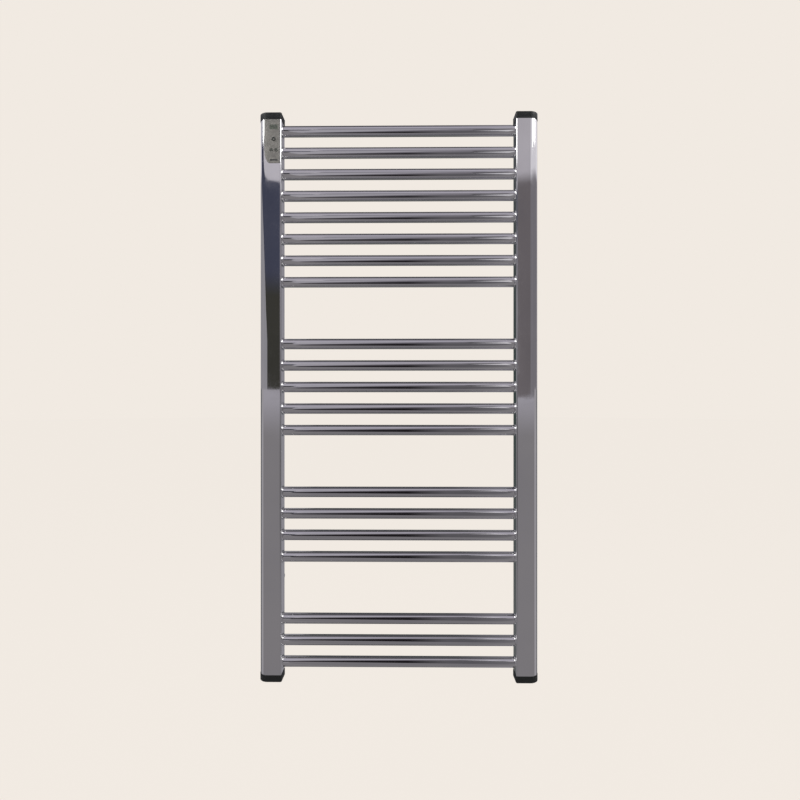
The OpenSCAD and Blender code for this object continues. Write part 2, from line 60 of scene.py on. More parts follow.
# Places read from the frame
upright_low, upright_high = (Vector(c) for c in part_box("left_upright"))
FRONT_Y = upright_low.y
BACK_Y = upright_high.y
INNER_X = -upright_high.x
OUTER_X = -upright_low.x
TUBE_TOP = upright_high.z
TUBE_BOTTOM = upright_low.z
CAP_LIP = -OUTER_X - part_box("cap_top_left")[0][0]
CAP_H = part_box("cap_top_left")[1][2] - TUBE_TOP


# ---------------------------------------------------------------- colours


def linear(level):
    """One display level, 0 to 255, as linear light."""
    c = level / 255
    return c / 12.92 if c <= 0.04045 else ((c + 0.055) / 1.055) ** 2.4


def shade(r, g, b, gain=1.0):
    return (linear(r) * gain, linear(g) * gain, linear(b) * gain, 1.0)


CHROME_REFLECTS = 0.70
BACKDROP = shade(241, 234, 226)


def mirrored(r, g, b):
    """The light that looks like this display colour once the chrome has reflected it."""
    return shade(r, g, b, 1 / CHROME_REFLECTS)


# ---------------------------------------------------------------- materials


class Graph:
    """A material's or world's node tree, with short calls for the nodes used here."""

    def __init__(self, owner, coordinates="Object"):
        owner.use_nodes = True
        self.tree = owner.node_tree
        self.place = self.tree.nodes.new("ShaderNodeTexCoord").outputs[coordinates]

    def feed(self, socket, value):
        if isinstance(value, bpy.types.NodeSocket):
            self.tree.links.new(value, socket)
        else:
            socket.default_value = value

    def node(self, kind, inputs=None, **settings):
        n = self.tree.nodes.new("ShaderNode" + kind)
        for key, value in settings.items():
            setattr(n, key, value)
        for key, value in (inputs or {}).items():
            self.feed(n.inputs[key], value)
        return n

    def stretched(self, scale):
        return self.node("Mapping", {"Vector": self.place, "Scale": scale}).outputs[0]

    def noise(self, scale, detail=3.0, roughness=0.5, stretch=(1, 1, 1), distortion=0.0):
        where = self.place if stretch == (1, 1, 1) else self.stretched(stretch)
        inputs = {"Vector": where, "Scale": scale, "Detail": detail}
        inputs |= {"Roughness": roughness, "Distortion": distortion}
        return self.node("TexNoise", inputs).outputs["Fac"]

    def cells(self, scale, feature="F1"):
        n = self.node("TexVoronoi", {"Vector": self.place, "Scale": scale}, feature=feature)
        return n.outputs["Distance"]

    def waves(self, scale, direction):
        inputs = {"Vector": self.place, "Scale": scale, "Distortion": 0.0}
        return self.node("TexWave", inputs, bands_direction=direction).outputs["Fac"]

    def span(self, value, low, high, to_low=0.0, to_high=1.0):
        inputs = {"Value": value, "From Min": low, "From Max": high, "To Min": to_low, "To Max": to_high}
        return self.node("MapRange", inputs).outputs["Result"]

    def sums(self, operation, a, b=0.0):
        n = self.node("Math", operation=operation)
        self.feed(n.inputs[0], a)
        self.feed(n.inputs[1], b)
        return n.outputs[0]

    def ramp(self, value, stops):
        n = self.node("ValToRGB", {"Fac": value})
        n.color_ramp.interpolation = "LINEAR"
        elements = n.color_ramp.elements
        elements.remove(elements[-1])
        elements[0].position, elements[0].color = stops[0]
        for position, colour in stops[1:]:
            elements.new(position).color = colour
        return n.outputs["Color"]

    def mix(self, amount, a, b):
        n = self.node("Mix", data_type="RGBA", blend_type="MIX")
        self.feed(n.inputs[0], amount)
        self.feed(n.inputs[6], a)
        self.feed(n.inputs[7], b)
        return n.outputs[2]

    def bump(self, height, distance, under=None):
        inputs = {"Height": height, "Distance": distance, "Strength": 1.0}
        if under is not None:
            inputs["Normal"] = under
        return self.node("Bump", inputs).outputs["Normal"]

    def axis(self, letter):
        return self.node("SeparateXYZ", {"Vector": self.place}).outputs[letter]


class Finish(Graph):
    """A surface material: one Principled shader fed by object-space textures."""

    def __init__(self, name, **constants):
        self.material = bpy.data.materials.new(name)
        super().__init__(self.material)
        self.surface = self.tree.nodes["Principled BSDF"]
        for key, value in constants.items():
            self.surface.inputs[key.replace("_", " ")].default_value = value

    def colour(self, value):
        self.feed(self.surface.inputs["Base Color"], value)

    def rough(self, value):
        self.feed(self.surface.inputs["Roughness"], value)

    def normal(self, value):
        self.feed(self.surface.inputs["Normal"], value)


def grey(level, tint=(1.0, 1.0, 1.0)):
    return (level * tint[0], level * tint[1], level * tint[2], 1.0)


def chrome(name, along, reflects=CHROME_REFLECTS, wave=0.000012):
    """Bright plate over drawn tube: long shallow waves, faint polishing lines, wiped marks and water spots."""
    f = Finish(name, Metallic=1.0)
    long_way = {"X": (0.06, 1, 1), "Z": (1, 1, 0.06), "Y": (1, 0.06, 1)}[along]
    smears = f.noise(38, 4, 0.6, distortion=0.6)
    film = f.noise(9, 2, 0.5)
    duller, brighter = grey(reflects * 0.965, (1, 1, 1.015)), grey(reflects * 1.03, (1.005, 1, 1))
    tone = f.ramp(film, [(0.3, duller), (0.7, brighter)])
    lines = f.noise(2600, 2, 0.6, stretch=long_way)
    spots = f.cells(170)
    ring = f.sums("SUBTRACT", f.span(spots, 0.10, 0.13), f.span(spots, 0.13, 0.17))
    spot_mask = f.sums("MULTIPLY", ring, f.span(f.noise(21, 1), 0.56, 0.66))
    f.colour(f.mix(f.sums("MULTIPLY", spot_mask, 0.22), tone, grey(reflects * 0.8)))
    rough = f.sums("ADD", f.span(smears, 0.42, 0.75, 0.026, 0.075), f.span(lines, 0.35, 0.75, 0.0, 0.02))
    f.rough(f.sums("ADD", rough, f.sums("MULTIPLY", spot_mask, 0.09)))
    waves = f.bump(f.noise(17, 1, 0.4, stretch=long_way), wave * 60)
    f.normal(f.bump(lines, 0.0000012, under=waves))
    return f.material


def moulded(name, colour, rough=0.42, grain=1500, depth=0.00003, wear=0.18, specular=0.5):
    """Moulded plastic: spark-eroded grain, uneven gloss, a little dust and rubbed patches."""
    f = Finish(name, Specular_IOR_Level=specular)
    patches = f.noise(60, 4, 0.6)
    dust = f.sums("MULTIPLY", f.span(f.noise(900, 2, 0.7), 0.62, 0.74), f.span(patches, 0.45, 0.7))
    lighter = tuple(min(1.0, c * 1.35 + 0.012) for c in colour[:3]) + (1.0,)
    body = f.mix(f.span(patches, 0.35, 0.75, 0.0, wear * 2), colour, lighter)
    f.colour(f.mix(f.sums("MULTIPLY", dust, wear), body, (0.45, 0.44, 0.42, 1)))
    f.rough(f.span(patches, 0.3, 0.75, rough * 0.82, min(1.0, rough * 1.25)))
    pitted = f.bump(f.noise(grain, 3, 0.65), depth)
    f.normal(f.bump(f.noise(45, 1), depth * 2.5, under=pitted))
    return f.material


def speckled_fascia(name):
    """Satin stone-grey moulding with dark and light flecks in the resin."""
    f = Finish(name, Specular_IOR_Level=0.45, Coat_Weight=0.12, Coat_Roughness=0.3)
    base = f.mix(f.span(f.noise(70, 3), 0.35, 0.7), shade(92, 91, 88), shade(109, 107, 103))
    dark = f.span(f.noise(1500, 2, 0.7), 0.56, 0.70)
    light = f.span(f.noise(1900, 2, 0.7, distortion=0.4), 0.60, 0.72)
    flecked = f.mix(f.sums("MULTIPLY", dark, 0.75), base, shade(56, 56, 54))
    f.colour(f.mix(f.sums("MULTIPLY", light, 0.5), flecked, shade(176, 174, 168)))
    f.rough(f.span(f.noise(240, 3), 0.3, 0.7, 0.36, 0.52))
    f.normal(f.bump(f.noise(2400, 2), 0.00002, under=f.bump(f.noise(60, 1), 0.00006)))
    return f.material


def window(name, colour, deeper, coat=0.6):
    """Clear window moulding over a dark or grey display."""
    f = Finish(name, Specular_IOR_Level=0.55, Coat_Weight=coat, Coat_Roughness=0.05)
    f.colour(f.mix(f.span(f.noise(420, 2), 0.35, 0.7), colour, deeper))
    f.rough(f.span(f.noise(90, 3), 0.35, 0.7, 0.12, 0.26))
    f.normal(f.bump(f.noise(130, 1), 0.00001))
    return f.material


def circuit_board(name):
    """Solder mask over copper tracks, with tinned pads."""
    f = Finish(name, Specular_IOR_Level=0.5)
    tracks = f.span(f.cells(330, "DISTANCE_TO_EDGE"), 0.10, 0.13)
    pads = f.span(f.cells(520), 0.16, 0.13)
    mask = f.mix(tracks, shade(46, 122, 62), shade(18, 84, 40))
    f.colour(f.mix(pads, mask, shade(196, 190, 172)))
    f.rough(f.span(f.noise(300, 2), 0.3, 0.7, 0.28, 0.45))
    f.normal(f.bump(tracks, -0.00003, under=f.bump(pads, 0.00004)))
    return f.material


def insulation(name, colour, second=None, rough=0.5):
    """Extruded insulation or rubber: drawn lines, slight colour drift, stripes if it has a second colour."""
    f = Finish(name, Specular_IOR_Level=0.4)
    drift = f.noise(120, 3)
    deep = tuple(c * 0.72 for c in colour[:3]) + (1.0,)
    body = f.mix(f.span(drift, 0.35, 0.7), colour, deep)
    if second:
        body = f.mix(f.span(f.waves(95, "DIAGONAL"), 0.46, 0.54), body, second)
    f.colour(body)
    f.rough(f.span(drift, 0.3, 0.7, rough * 0.85, rough * 1.2))
    f.normal(f.bump(f.noise(1600, 2, stretch=(1, 1, 0.1)), 0.00003))
    return f.material


TOOL_MARK_DEPTH = 0.00001


def metal(name, colour, rough):
    """Turned or stamped metal: tool marks, tarnish in patches."""
    f = Finish(name, Metallic=1.0)
    tarnish = f.noise(140, 4, 0.65)
    dull = tuple(c * 0.6 for c in colour[:3]) + (1.0,)
    f.colour(f.mix(f.span(tarnish, 0.45, 0.75), colour, dull))
    f.rough(f.span(tarnish, 0.3, 0.75, rough * 0.8, rough * 1.5))
    fine = f.bump(f.noise(3200, 1), TOOL_MARK_DEPTH)
    f.normal(f.bump(f.noise(900, 2, stretch=(1, 0.2, 1)), TOOL_MARK_DEPTH, under=fine))
    return f.material


def ceramic(name, colour):
    f = Finish(name, Specular_IOR_Level=0.5)
    f.colour(f.mix(f.span(f.noise(800, 4), 0.4, 0.7), colour, tuple(c * 0.8 for c in colour[:3]) + (1.0,)))
    f.rough(f.span(f.noise(200, 3), 0.3, 0.7, 0.3, 0.5))
    f.normal(f.bump(f.noise(2000, 2), 0.00002))
    return f.material


upright_chrome = chrome("upright_chrome", "Z")
rung_chrome = chrome("rung_chrome", "X")
cap_black = moulded("cap_black", shade(21, 23, 23), 0.4, 1300, 0.00003, 0.08, 0.28)
LOOKS = {
    "chrome": upright_chrome,
    "bracket_chrome": chrome("bracket_chrome", "Y", 0.66, 0.000006),
    "cap_plastic": cap_black,
    "fascia": speckled_fascia("fascia_grey"),
    "smoked_window": window("smoked_window", shade(44, 47, 44), shade(30, 33, 31)),
    "display_window": window("display_window", shade(74, 80, 71), shade(60, 66, 58), 0.4),
    "dark_button": moulded("dark_button", shade(34, 36, 35), 0.5, 2000, 0.00002, 0.1, 0.35),
    "grey_button": moulded("grey_button", shade(66, 68, 64), 0.5, 2000, 0.00002, 0.1, 0.35),
    "circuit_board": circuit_board("circuit_board"),
    "component_black": moulded("component_black", shade(40, 40, 43), 0.5),
    "terminal_plastic": moulded("terminal_plastic", shade(58, 130, 100), 0.45),
    "lead_white": insulation("lead_white", shade(226, 226, 222)),
    "lead_earth": insulation("lead_earth", shade(86, 150, 52), shade(214, 196, 48)),
    "lead_brown": insulation("lead_brown", shade(112, 74, 48), shade(38, 74, 132)),
    "cable_jacket": insulation("cable_jacket", shade(160, 66, 52)),
    "sleeve_black": insulation("sleeve_black", shade(48, 48, 48), rough=0.6),
    "cutout_ceramic": ceramic("cutout_ceramic", shade(224, 220, 206)),
    "plated_steel": metal("plated_steel", shade(196, 196, 198), 0.28),
    "brass_screw": metal("brass_screw", shade(220, 190, 128), 0.24),
    "black_steel": metal("black_steel", shade(72, 72, 75), 0.4),
    "grommet_rubber": insulation("grommet_rubber", shade(44, 44, 44), rough=0.65),
}


slot_of = {part["node"]: part["material_slot"] for part in frame["record"]["subparts"]}
for node_name, obj in NODES.items():
    look = LOOKS.get(slot_of.get(node_name), cap_black)
    if node_name.startswith("rung_"):
        look = rung_chrome
    for material_slot in obj.material_slots:
        material_slot.link = "OBJECT"
        material_slot.material = look


# ---------------------------------------------------------------- mesh helpers


def make_object(name, mesh_data, material, body):
    obj = bpy.data.objects.new(name, mesh_data)
    scene.collection.objects.link(obj)
    obj.data.materials.append(material)
    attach(obj, body)
    return obj


def arc(centre, radius, start, end, steps):
    """Points on an arc, in degrees, both ends included."""
    angles = [math.radians(start + (end - start) * i / steps) for i in range(steps + 1)]
    return [(centre[0] + radius * math.cos(a), centre[1] + radius * math.sin(a)) for a in angles]


CORNER_R = 2.2 * MM
ROUND_R = (BACK_Y - FRONT_Y) / 2
FLAT_W = (OUTER_X - INNER_X) - ROUND_R


def section(grow):
    """The upright's D section moved outward by grow: outward from the inner side, then back from the front."""
    corner = max(CORNER_R + grow, 0.3 * MM)
    depth = 2 * ROUND_R
    points = arc((corner - grow, corner - grow), corner, 180, 270, 8)
    points += arc((FLAT_W, ROUND_R), ROUND_R + grow, -90, 90, 48)
    points += arc((corner - grow, depth + grow - corner), corner, 90, 180, 8)
    return points


def loft(rings):
    """A closed skin through rings of equal length, each a list of (x, y, z), with both ends filled."""
    bm = bmesh.new()
    rows = [[bm.verts.new(p) for p in ring] for ring in rings]
    for a, b in zip(rows, rows[1:]):
        for i in range(len(a)):
            j = (i + 1) % len(a)
            bm.faces.new((a[i], a[j], b[j], b[i]))
    for row, ring in ((rows[0], rings[0]), (rows[-1], rings[-1])):
        centre = bm.verts.new(sum((Vector(p) for p in ring), Vector()) / len(ring))
        for i in range(len(row)):
            bm.faces.new((row[i], row[(i + 1) % len(row)], centre))
    bmesh.ops.recalc_face_normals(bm, faces=bm.faces)
    return bm


def to_mesh(bm, name, sharp_angle=40):
    mesh_data = bpy.data.meshes.new(name)
    bm.to_mesh(mesh_data)
    bm.free()
    mesh_data.shade_smooth()
    mesh_data.set_sharp_from_angle(angle=math.radians(sharp_angle))
    return mesh_data


# ---------------------------------------------------------------- end caps

EDGE_R = 0.9 * MM
LIP_R = 0.45 * MM
SKIRT = 6.5 * MM
SKIRT_INSET = 1.6 * MM
SHELL = 1.3 * MM
GROOVE_Z = 2.3 * MM
CROWN = 0.3 * MM


def end_cap(node, side, up):
    """A moulded cap: rolled lip, witness groove, radiused edge, crowned top, and a hollow skirt in the tube."""

    def ring(grow, height, pull=0.0):
        flat = section(grow)
        middle = (FLAT_W * 0.62, ROUND_R)
        placed = []
        for u, v in flat:
            u += (middle[0] - u) * pull
            v += (middle[1] - v) * pull
            z = TUBE_TOP + height if up else TUBE_BOTTOM - height
            placed.append((side * (INNER_X + u), FRONT_Y + v, z))
        return placed

    rings = []
    for pull in (0.96, 0.8, 0.6, 0.4, 0.2, 0.07):
        rings.append(ring(CAP_LIP - EDGE_R, CAP_H + CROWN * (pull * (2 - pull) - 1), pull))
    for i in range(11):
        a = math.radians(90 - 9 * i)
        rings.append(ring(CAP_LIP - EDGE_R * (1 - math.cos(a)), CAP_H - CROWN - EDGE_R * (1 - math.sin(a))))
    rings.append(ring(CAP_LIP, GROOVE_Z + 0.35 * MM))
    for height, inset in ((0.2, 0.03), (0.1, 0.16), (-0.1, 0.16), (-0.2, 0.03)):
        rings.append(ring(CAP_LIP - inset * MM, GROOVE_Z + height * MM))
    rings.append(ring(CAP_LIP, GROOVE_Z - 0.35 * MM))
    for i in range(6):
        a = math.radians(18 * i)
        rings.append(ring(CAP_LIP - LIP_R * (1 - math.cos(a)), LIP_R * (1 - math.sin(a))))
    rings.append(ring(-SKIRT_INSET, 0.0))
    rings.append(ring(-SKIRT_INSET, -SKIRT + 0.6 * MM))
    rings.append(ring(-SKIRT_INSET - 0.4 * MM, -SKIRT))
    rings.append(ring(-SKIRT_INSET - SHELL + 0.1 * MM, -SKIRT))
    rings.append(ring(-SKIRT_INSET - SHELL, -SKIRT + 0.1 * MM))
    for pull, height in ((0, CAP_H - 3.4 * MM), (0.12, CAP_H - 2.6 * MM), (0.5, CAP_H - 2.5 * MM)):
        rings.append(ring(-SKIRT_INSET - SHELL, height, pull))
    name = node.replace("cap_", "moulded_cap_")
    cap = make_object(name, to_mesh(loft(rings), name, 35), cap_black, "rack")
    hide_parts(node)


for level in ("top", "bottom"):
    for hand, side in (("left", -1), ("right", 1)):
        end_cap(f"cap_{level}_{hand}", side, level == "top")


# ---------------------------------------------------------------- printed marks


def surface_of(node):
    obj = NODES[node]
    return BVHTree.FromPolygons([v.co for v in obj.data.vertices], [p.vertices for p in obj.data.polygons])


INK_LIFT = 0.02 * MM
INK_THICK = 0.04 * MM
PROBE_Y = FRONT_Y - 20 * MM


def printed(name, node, strokes, width, material, body):
    """Marks printed on a face that looks forward: each stroke is a ribbon laid on the node's surface."""
    face = surface_of(node)

    def on_face(x, z):
        hit = face.ray_cast(Vector((x, PROBE_Y, z)), Vector((0, 1, 0)))[0]
        return Vector((x, (hit.y if hit else FRONT_Y) - INK_LIFT, z))

    bm = bmesh.new()
    for points in strokes:
        fine = []
        for (x0, z0), (x1, z1) in zip(points, points[1:]):
            steps = max(1, round(math.hypot(x1 - x0, z1 - z0) / (0.3 * MM)))
            fine += [(x0 + (x1 - x0) * i / steps, z0 + (z1 - z0) * i / steps) for i in range(steps)]
        fine.append(points[-1])
        rows = []
        for i, (x, z) in enumerate(fine):
            xa, za = fine[max(i - 1, 0)]
            xb, zb = fine[min(i + 1, len(fine) - 1)]
            run = math.hypot(xb - xa, zb - za)
            nx, nz = -(zb - za) / run * width / 2, (xb - xa) / run * width / 2
            outer = [on_face(x + nx * k, z + nz * k) for k in (-1, 0, 1)]
            inner = [p + Vector((0, INK_THICK, 0)) for p in reversed(outer)]
            rows.append([bm.verts.new(p) for p in outer + inner])
        for a, b in zip(rows, rows[1:]):
            for i in range(len(a)):
                j = (i + 1) % len(a)
                bm.faces.new((a[i], a[j], b[j], b[i]))
        for row in (rows[0], rows[-1]):
            bm.faces.new((row[0], row[1], row[4], row[5]))
            bm.faces.new((row[1], row[2], row[3], row[4]))
    bmesh.ops.recalc_face_normals(bm, faces=bm.faces)
    return make_object(name, to_mesh(bm, name), material, body)


def centre_of(node):
    low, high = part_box(node)
    return ((low[0] + high[0]) / 2, (low[2] + high[2]) / 2)


ink_dark = moulded("ink_dark", shade(24, 26, 25), 0.5, 2600, 0.000008, 0.06, 0.3)
ink_light = moulded("ink_light", shade(150, 152, 145), 0.5, 2600, 0.000008, 0.06, 0.3)

power_x, power_z = centre_of("power_button")
ring_mark = arc((power_x, power_z - 0.1 * MM), 1.15 * MM, 125, 415, 24)
bar_mark = [(power_x, power_z + 0.5 * MM), (power_x, power_z + 1.75 * MM)]
power_marks = [ring_mark, bar_mark]
printed("power_symbol", "power_button", power_marks, 0.34 * MM, ink_light, "power_button")

for node in ("minus_button", "plus_button"):
    x, z = centre_of(node)
    reach, clear = 1.25 * MM, 0.22 * MM
    bars = [[(x - reach, z), (x + reach, z)]]
    if node == "plus_button":
        bars += [[(x, z + clear), (x, z + reach)], [(x, z - reach), (x, z - clear)]]
    printed(node.replace("button", "symbol"), node, bars, 0.42 * MM, ink_dark, node)

# Seven-segment digits on the display
SEGMENTS = {
    "a": ((0, 2), (1, 2)),
    "b": ((1, 2), (1, 1)),
    "c": ((1, 1), (1, 0)),
    "d": ((0, 0), (1, 0)),
    "e": ((0, 1), (0, 0)),
    "f": ((0, 2), (0, 1)),
    "g": ((0, 1), (1, 1)),
}
DIGIT_W, DIGIT_HALF, DIGIT_GAP = 2.5 * MM, 2.35 * MM, 0.28 * MM
display_x, display_z = centre_of("display_lens")
digits = []
for lit, left in (("bcfg", -4.9 * MM), ("acdfg", -1.1 * MM)):
    for key in lit:
        (c0, r0), (c1, r1) = SEGMENTS[key]
        dx, dz = (c1 - c0) * DIGIT_GAP, (r1 - r0) * DIGIT_GAP
        start = (display_x + left + c0 * DIGIT_W + dx, display_z + (r0 - 1) * DIGIT_HALF + dz)
        end = (display_x + left + c1 * DIGIT_W - dx, display_z + (r1 - 1) * DIGIT_HALF - dz)
        digits.append([start, end])
degree = arc((display_x + 3.6 * MM, display_z + 1.5 * MM), 0.75 * MM, 0, 330, 16)
drop_mark = [(display_x + 4.9 * MM, display_z - 2.2 * MM), (display_x + 4.9 * MM, display_z + 0.2 * MM)]
printed(
    "display_digits",
    "display_lens",
    digits + [degree, drop_mark],
    0.5 * MM,
    ink_dark,
    "rack",
)

# Small printed ticks each side of the power button, and three short waves over the indicator
TICK_X, TICK_REACH = 6.3 * MM, 1.0 * MM
WAVE_GAP, WAVE_SWING, WAVE_FOOT, WAVE_H, WAVE_STEPS = 2.6 * MM, 0.45 * MM, 4.6 * MM, 4.2 * MM, 12
fascia_marks = []
for tick_x in (power_x - TICK_X, power_x + TICK_X):
    fascia_marks.append([(tick_x, power_z - TICK_REACH), (tick_x, power_z + TICK_REACH)])
indicator_x, indicator_z = centre_of("indicator_lens")
for wave_x in (indicator_x - WAVE_GAP, indicator_x, indicator_x + WAVE_GAP):
    wave = []
    for i in range(WAVE_STEPS + 1):
        t = i / WAVE_STEPS
        wave.append((wave_x + WAVE_SWING * math.sin(2 * math.pi * t), indicator_z + WAVE_FOOT + WAVE_H * t))
    fascia_marks.append(wave)
printed("fascia_marks", "control_fascia", fascia_marks, 0.45 * MM, ink_dark, "rack")


# ---------------------------------------------------------------- camera

FRAME_WIDTH = 1.4493  # what the picture spans at the uprights' mid-depth
CAMERA_AWAY = 1.0  # from the uprights' front
CAMERA_TURN = math.radians(0.57)
CAMERA_X = 0.0125
SENSOR_MM = 36
middle_z = -0.0050

camera_data = bpy.data.cameras.new("camera")
camera_data.sensor_width = SENSOR_MM
camera_data.lens = SENSOR_MM * (CAMERA_AWAY + ROUND_R) / FRAME_WIDTH
camera_data.clip_start = 0.01
camera_data.clip_end = 100
camera = bpy.data.objects.new("camera", camera_data)
scene.collection.objects.link(camera)
camera.location = (CAMERA_X, FRONT_Y - CAMERA_AWAY, middle_z)
camera.rotation_euler = (math.radians(90), 0, CAMERA_TURN)
scene.camera = camera


# ---------------------------------------------------------------- stage


def only_seen_in_gloss(obj):
    """A reflector or flag: it shows in the chrome and lights nothing."""
    obj.visible_camera = False
    obj.visible_diffuse = False
    obj.visible_shadow = False
    obj.visible_transmission = False
    obj.visible_volume_scatter = False


def card_material(name, axis, low, high, stops, streaks=0.10):
    """A glowing card whose colour runs along one axis, a little uneven as a real sheet is."""
    material = bpy.data.materials.new(name)
    g = Graph(material)
    g.tree.nodes.remove(g.tree.nodes["Principled BSDF"])
    place = g.span(g.axis(axis), low, high)
    colours = [((at - low) / (high - low), mirrored(*rgb)) for at, rgb in stops]
    colour = g.ramp(place, colours)
    uneven = g.span(g.noise(1.1, 3, 0.6, stretch=(1, 1, 0.5)), 0.3, 0.7, 1 - streaks, 1 + streaks)
    glow = g.node("Emission", {"Color": colour, "Strength": uneven})
    g.tree.links.new(glow.outputs[0], g.tree.nodes["Material Output"].inputs["Surface"])
    return material


CARD_R = 4.0
UPRIGHT_X = (INNER_X + OUTER_X) / 2
CARD_REACH = (CARD_R - 0.14) / math.hypot(CAMERA_AWAY, UPRIGHT_X)


def card_height(seen):
    """Where a card at CARD_R shows at this height on the uprights' flat fronts, as the camera sees them."""
    return middle_z + (seen - middle_z) * (1 + CARD_REACH)


CARD_TOP, CARD_FOOT, FLOOR_LINE = 0.64, -0.64, 0.014
FIRST = 11  # degrees: the cards start where the rungs' reflections end
DARK_TOP, PALE_FOOT = 0.38, 0.40  # between these heights the cards turn from their dark tone to their pale one


def straight(azimuth):
    """A card edge that stays at one azimuth."""
    return lambda height: azimuth


def widening(first, last, low, high, bow=1.0):
    """A card edge that swings from one azimuth at a low height to another at a high one, and stays there."""
    return lambda height: first + (last - first) * min(1.0, max(0.0, (height - low) / (high - low))) ** bow


def two_tone(foot, below, above):
    """One tone up to DARK_TOP and another from PALE_FOOT."""
    return [(foot, below), (DARK_TOP, below), (PALE_FOOT, above), (CARD_TOP, above)]


def wall_card(name, side, start, edge, tones, nearer=0, corner=(0, 0), streaks=0.10):
    """A curved card around the rack, from one azimuth out to an edge, in one or two broad tones.

    Heights are as they show on the uprights. The outer lower corner can be rounded: degrees, and height.
    """
    radius = CARD_R - 0.04 * nearer
    foot, head = tones[0][0], tones[-1][0]
    rows, columns = 60, 28
    bm = bmesh.new()
    grid = []
    for i in range(rows + 1):
        t = (i / rows) ** 2 if corner[1] else i / rows
        height = foot + (head - foot) * t
        outer = edge(height)
        if height - foot < corner[1]:
            outer -= corner[0] * (1 - math.sqrt(max(0.0, 1 - (1 - (height - foot) / corner[1]) ** 2)))
        row = []
        for j in range(columns + 1):
            a = math.radians(start + (outer - start) * j / columns)
            row.append(bm.verts.new((side * radius * math.sin(a), -radius * math.cos(a), card_height(height))))
        grid.append(row)
    for a, b in zip(grid, grid[1:]):
        for j in range(columns):
            bm.faces.new((a[j], a[j + 1], b[j + 1], b[j]))
    place = [(card_height(h), rgb) for h, rgb in tones]
    material = card_material(name, "Z", card_height(foot), card_height(head), place, streaks)
    card = bpy.data.objects.new(name, to_mesh(bm, name))
    scene.collection.objects.link(card)
    card.data.materials.append(material)
    only_seen_in_gloss(card)


# Left: a dark wall that widens upwards, olive below and blue above, with a pale wall over it
OLIVE, NAVY, PALE = (54, 53, 49), (60, 62, 77), (176, 172, 179)
dark_wall = [(FLOOR_LINE, OLIVE), (0.18, OLIVE), (0.22, NAVY), (CARD_TOP, NAVY)]
wall_card("card_left_dark", -1, FIRST, widening(18, 110, FLOOR_LINE, DARK_TOP, 1.8), dark_wall, 1)
wall_card("card_left_light", -1, FIRST, straight(70), [(DARK_TOP, PALE), (CARD_TOP, PALE)], 2, (24, 0.05), 0.05)
wall_card("card_left_outer", -1, FIRST, straight(142), two_tone(FLOOR_LINE, (134, 132, 137), (203, 199, 206)))
wall_card("card_left_rim", -1, 142, straight(166), two_tone(FLOOR_LINE, (98, 98, 103), (200, 196, 203)))

# Right: a narrower, paler wall with the same turn in it
right_wall = two_tone(0, (98, 93, 96), (165, 161, 167))
wall_card("card_right", 1, FIRST, widening(16, 30, 0, CARD_TOP), right_wall, 1, (0.5, 0.01), 0.16)
wall_card("card_right_outer", 1, FIRST, straight(112), two_tone(0, (110, 107, 112), (200, 197, 203)))
wall_card("card_right_strip", 1, 112, straight(140), two_tone(0, (132, 129, 134), (218, 215, 221)))
wall_card("card_right_rim", 1, 140, straight(166), [(0, (88, 86, 92)), (CARD_TOP, (88, 86, 92))])

# Below both: a dark rim and a light line beside it
DARK_RIM, LIGHT_LINE = (74, 76, 80), (146, 143, 147)
for hand, side in (("left", -1), ("right", 1)):
    rim_tones = [(CARD_FOOT, DARK_RIM), (FLOOR_LINE, DARK_RIM)]
    line_tones = [(CARD_FOOT, LIGHT_LINE), (FLOOR_LINE, LIGHT_LINE)]
    wall_card(f"card_low_rim_{hand}", side, 118, straight(166), rim_tones, 2)
    wall_card(f"card_low_line_{hand}", side, 72, straight(112), line_tones, 3)


def flat_card(name, columns, y, across, upward):
    """A flat sheet across the front, in columns of (x, lowest z, highest z).

    Its colour runs along x, and each column's share of its height blends it towards the upward colour.
    """
    rows = 24
    bm = bmesh.new()
    share = bm.verts.layers.float_color.new("share")
    grid = []
    for x, low, high in columns:
        line = []
        for i in range(rows + 1):
            t = i / rows
            v = bm.verts.new((x, y, low + (high - low) * t))
            v[share] = (t, t, t, 1)
            line.append(v)
        grid.append(line)
    for a, b in zip(grid, grid[1:]):
        for i in range(rows):
            bm.faces.new((a[i], b[i], b[i + 1], a[i + 1]))
    low_x, high_x = columns[0][0], columns[-1][0]
    card = bpy.data.objects.new(name, to_mesh(bm, name))
    scene.collection.objects.link(card)
    material = bpy.data.materials.new(name)
    g = Graph(material)
    g.tree.nodes.remove(g.tree.nodes["Principled BSDF"])
    place = g.span(g.axis("X"), low_x, high_x)
    stops = [((at_x - low_x) / (high_x - low_x), mirrored(*rgb)) for at_x, rgb in across]
    colour = g.ramp(place, stops)
    up = g.node("VertexColor", layer_name="share").outputs["Color"]
    colour = g.mix(g.span(up, 0.55, 1.0), colour, mirrored(*upward))
    glow = g.node("Emission", {"Color": colour, "Strength": 1.0})
    g.tree.links.new(glow.outputs[0], g.tree.nodes["Material Output"].inputs["Surface"])
    card.data.materials.append(material)
    only_seen_in_gloss(card)


# In front of the rungs: a light sheet over a dull one, and a dark wedge that is forked at its right
FLAG_Y = FRONT_Y - 0.6
SHEET_Y = FLAG_Y - 0.02
EDGE_Z, SHEET_TOP, SHEET_FOOT = -0.17, 0.5, -2.2
REACH_X, TIP_X, FORK_X, FORK_Z = 0.316, -0.314, 0.20, 0.24
LIGHT, DULL, BEAM = (152, 149, 156), (112, 109, 113), (196, 193, 198)
DARK, GREY, GREY_END, GREY_TOP = (26, 23, 26), (84, 82, 86), (104, 102, 106), (124, 120, 128)


def sheet(name, low, high, tone):
    """A flat card of one tone, as wide as the flag."""
    across = [(-REACH_X, tone), (REACH_X, tone)]
    flat_card(name, [(-REACH_X, low, high), (REACH_X, low, high)], SHEET_Y, across, tone)


